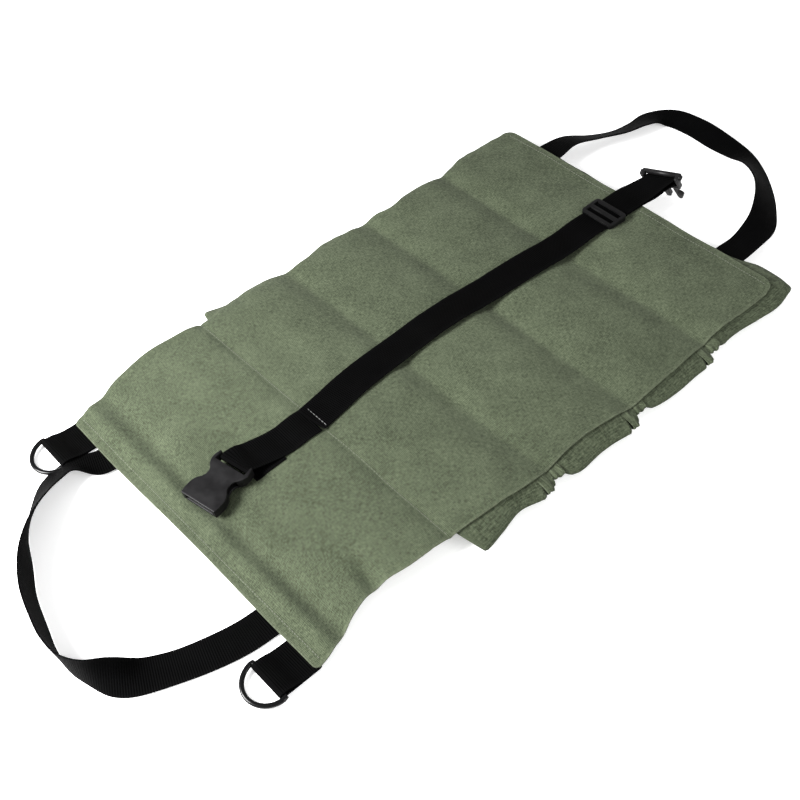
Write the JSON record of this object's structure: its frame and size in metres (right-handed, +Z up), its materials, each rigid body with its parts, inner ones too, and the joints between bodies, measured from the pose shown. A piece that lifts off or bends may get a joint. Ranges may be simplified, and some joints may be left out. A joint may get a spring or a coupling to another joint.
{
  "type": "roll-up tool pouch",
  "caption": "Canvas tool roll with zipped bellows pockets, a plain flap, webbing carrying handles, D-rings and a buckled strap.",
  "frame": {"origin": "on the ground under the middle of the whole outline, handles included", "axes": "+X along the roll from the flap to the far hem, +Y across the roll, +Z up, pockets down"},
  "size_m": [0.8962, 0.376, 0.041],
  "materials": {
    "canvas": "matte plain-weave canvas, sage green",
    "webbing": "black ribbed webbing",
    "zip_tape": "black woven tape with moulded elements",
    "zip_metal": "black painted",
    "ring_metal": "gloss black",
    "buckle_plastic": "charcoal moulded acetal, satin"
  },
  "bodies": {
    "back_1": {"canvas_1": "canvas", "pocket_1_near_wall": "canvas", "pocket_1_far_wall": "canvas", "pocket_1_left_gusset": "canvas", "pocket_1_right_gusset": "canvas", "pocket_1_face": "canvas", "zip_1_tape": "zip_tape", "strap_stitch_patch": "webbing"},
    "back_2": {"canvas_2": "canvas", "pocket_2_near_wall": "canvas", "pocket_2_far_wall": "canvas", "pocket_2_left_gusset": "canvas", "pocket_2_right_gusset": "canvas", "pocket_2_face": "canvas", "zip_2_tape": "zip_tape"},
    "back_3": {"canvas_3": "canvas", "pocket_3_near_wall": "canvas", "pocket_3_far_wall": "canvas", "pocket_3_left_gusset": "canvas", "pocket_3_right_gusset": "canvas", "pocket_3_face": "canvas", "zip_3_tape": "zip_tape"},
    "back_4": {"canvas_4": "canvas", "pocket_4_near_wall": "canvas", "pocket_4_far_wall": "canvas", "pocket_4_left_gusset": "canvas", "pocket_4_right_gusset": "canvas", "pocket_4_face": "canvas", "zip_4_tape": "zip_tape", "far_hem": "canvas"},
    "flap_root": {"flap_root": "canvas", "buckle_strap_root": "webbing"},
    "flap": {"flap": "canvas", "near_hem": "canvas", "left_ring_tab": "webbing", "right_ring_tab": "webbing"},
    "buckle_strap": {"buckle_strap": "webbing"},
    "buckle_socket": {"buckle_socket": "buckle_plastic"},
    "near_handle": {"near_handle": "webbing"},
    "far_handle": {"far_handle": "webbing"},
    "left_d_ring": {"left_d_ring": "ring_metal"},
    "right_d_ring": {"right_d_ring": "ring_metal"},
    "tri_glide": {"tri_glide": "buckle_plastic"},
    "strap_tail": {"strap_tail": "webbing"},
    "buckle_plug": {"buckle_plug": "buckle_plastic"},
    "left_prong": {"left_prong": "buckle_plastic"},
    "right_prong": {"right_prong": "buckle_plastic"},
    "strap_1": {"strap_1": "webbing"},
    "zip_1_slider": {"zip_1_slider": "zip_metal"},
    "zip_1_puller": {"zip_1_puller": "zip_metal"},
    "strap_2": {"strap_2": "webbing"},
    "zip_2_slider": {"zip_2_slider": "zip_metal"},
    "zip_2_puller": {"zip_2_puller": "zip_metal"},
    "strap_3": {"strap_3": "webbing"},
    "zip_3_slider": {"zip_3_slider": "zip_metal"},
    "zip_3_puller": {"zip_3_puller": "zip_metal"},
    "strap_4": {"strap_4": "webbing"},
    "zip_4_slider": {"zip_4_slider": "zip_metal"},
    "zip_4_puller": {"zip_4_puller": "zip_metal"}
  },
  "joints": [
    {"name": "fold_2", "type": "hinge", "parent": "back_1", "child": "back_2", "pos_m": [-0.0445, 0, 0.02], "axis": [0, 1, 0], "range_deg": [0, 82]},
    {"name": "fold_3", "type": "hinge", "parent": "back_2", "child": "back_3", "pos_m": [0.06, 0, 0.02], "axis": [0, 1, 0], "range_deg": [0, 82]},
    {"name": "fold_4", "type": "hinge", "parent": "back_3", "child": "back_4", "pos_m": [0.1645, 0, 0.02], "axis": [0, 1, 0], "range_deg": [0, 82]},
    {"name": "flap_fold", "type": "hinge", "parent": "back_1", "child": "flap_root", "pos_m": [-0.153, 0, 0.02], "axis": [0, 1, 0], "range_deg": [-80, 45]},
    {"name": "flap_fold_outer", "type": "hinge", "parent": "flap_root", "child": "flap", "pos_m": [-0.17883, 0, 0.01706], "axis": [0, 1, 0], "range_deg": [-80, 45]},
    {"name": "buckle_strap_lift", "type": "hinge", "parent": "flap", "child": "buckle_strap", "pos_m": [-0.18006, 0, 0.01812], "axis": [0, -1, 0], "range_deg": [-100, 0]},
    {"name": "buckle_socket_tilt", "type": "hinge", "parent": "buckle_strap", "child": "buckle_socket", "pos_m": [-0.23462, 0.0145, 0.01644], "axis": [-0.1794, 0.9836, -0.0204], "range_deg": [0, 50]},
    {"name": "near_handle_swing", "type": "hinge", "parent": "flap", "child": "near_handle", "pos_m": [-0.3028, 0, 0.0012], "axis": [0, -1, 0], "range_deg": [-100, 90]},
    {"name": "far_handle_swing", "type": "hinge", "parent": "back_4", "child": "far_handle", "pos_m": [0.2714, 0, 0.0183], "axis": [0, -1, 0], "range_deg": [0, 118]},
    {"name": "left_d_ring_swing", "type": "hinge", "parent": "flap", "child": "left_d_ring", "pos_m": [-0.333, 0, 0.00425], "axis": [0, -1, 0], "range_deg": [-160, 90]},
    {"name": "right_d_ring_swing", "type": "hinge", "parent": "flap", "child": "right_d_ring", "pos_m": [-0.333, 0, 0.00425], "axis": [0, -1, 0], "range_deg": [-160, 90]},
    {"name": "strap_lift", "type": "hinge", "parent": "back_1", "child": "strap_1", "pos_m": [-0.1388, 0, 0.0212], "axis": [0, 1, 0], "range_deg": [-75, 0]},
    {"name": "strap_fold_2", "type": "hinge", "parent": "strap_1", "child": "strap_2", "pos_m": [-0.0445, 0, 0.02], "axis": [0, 1, 0], "range_deg": [0, 82]},
    {"name": "strap_fold_3", "type": "hinge", "parent": "strap_2", "child": "strap_3", "pos_m": [0.06, 0, 0.02], "axis": [0, 1, 0], "range_deg": [0, 82]},
    {"name": "strap_fold_4", "type": "hinge", "parent": "strap_3", "child": "strap_4", "pos_m": [0.1645, 0, 0.02], "axis": [0, 1, 0], "range_deg": [0, 82]},
    {"name": "adjuster_slide", "type": "slide", "parent": "strap_4", "child": "tri_glide", "axis": [1, 0, 0], "range_m": [-0.048, 0.01]},
    {"name": "strap_tail_bend", "type": "hinge", "parent": "strap_4", "child": "strap_tail", "pos_m": [0.2701, 0, 0.0234], "axis": [0, -1, 0], "range_deg": [-25, 60]},
    {"name": "plug_swing", "type": "hinge", "parent": "strap_tail", "child": "buckle_plug", "pos_m": [0.302, -0.0038, 0.034], "axis": [0.2009, -0.9544, 0.221], "range_deg": [-15, 60]},
    {"name": "left_prong_squeeze", "type": "hinge", "parent": "buckle_plug", "child": "left_prong", "pos_m": [0.30589, 0.0059, 0.02033], "axis": [-0.8514, -0.2817, -0.4424], "range_deg": [0, 6], "stiffness_Nm_per_rad": 0.02},
    {"name": "right_prong_squeeze", "type": "hinge", "parent": "buckle_plug", "child": "right_prong", "pos_m": [0.31051, -0.01605, 0.02542], "axis": [0.8514, 0.2817, 0.4424], "range_deg": [0, 6], "stiffness_Nm_per_rad": 0.02},
    {"name": "zip_1_run", "type": "slide", "parent": "back_1", "child": "zip_1_slider", "axis": [0, 1, 0], "range_m": [0, 0.27]},
    {"name": "zip_1_pull", "type": "hinge", "parent": "zip_1_slider", "child": "zip_1_puller", "pos_m": [-0.09675, -0.1389, 0.0007], "axis": [-1, 0, 0], "range_deg": [0, 115]},
    {"name": "zip_2_run", "type": "slide", "parent": "back_2", "child": "zip_2_slider", "axis": [0, 1, 0], "range_m": [0, 0.27]},
    {"name": "zip_2_pull", "type": "hinge", "parent": "zip_2_slider", "child": "zip_2_puller", "pos_m": [0.00775, -0.1389, 0.0007], "axis": [-1, 0, 0], "range_deg": [0, 115]},
    {"name": "zip_3_run", "type": "slide", "parent": "back_3", "child": "zip_3_slider", "axis": [0, 1, 0], "range_m": [0, 0.27]},
    {"name": "zip_3_pull", "type": "hinge", "parent": "zip_3_slider", "child": "zip_3_puller", "pos_m": [0.11225, -0.1389, 0.0007], "axis": [-1, 0, 0], "range_deg": [0, 115]},
    {"name": "zip_4_run", "type": "slide", "parent": "back_4", "child": "zip_4_slider", "axis": [0, 1, 0], "range_m": [0, 0.27]},
    {"name": "zip_4_pull", "type": "hinge", "parent": "zip_4_slider", "child": "zip_4_puller", "pos_m": [0.21675, -0.1389, 0.0007], "axis": [-1, 0, 0], "range_deg": [0, 115]}
  ],
  "couplings": [
    {"joint": "flap_fold", "follows": "flap_fold_outer", "ratio": 1},
    {"joint": "strap_fold_2", "follows": "fold_2", "ratio": 1},
    {"joint": "strap_fold_3", "follows": "fold_3", "ratio": 1},
    {"joint": "strap_fold_4", "follows": "fold_4", "ratio": 1}
  ]
}
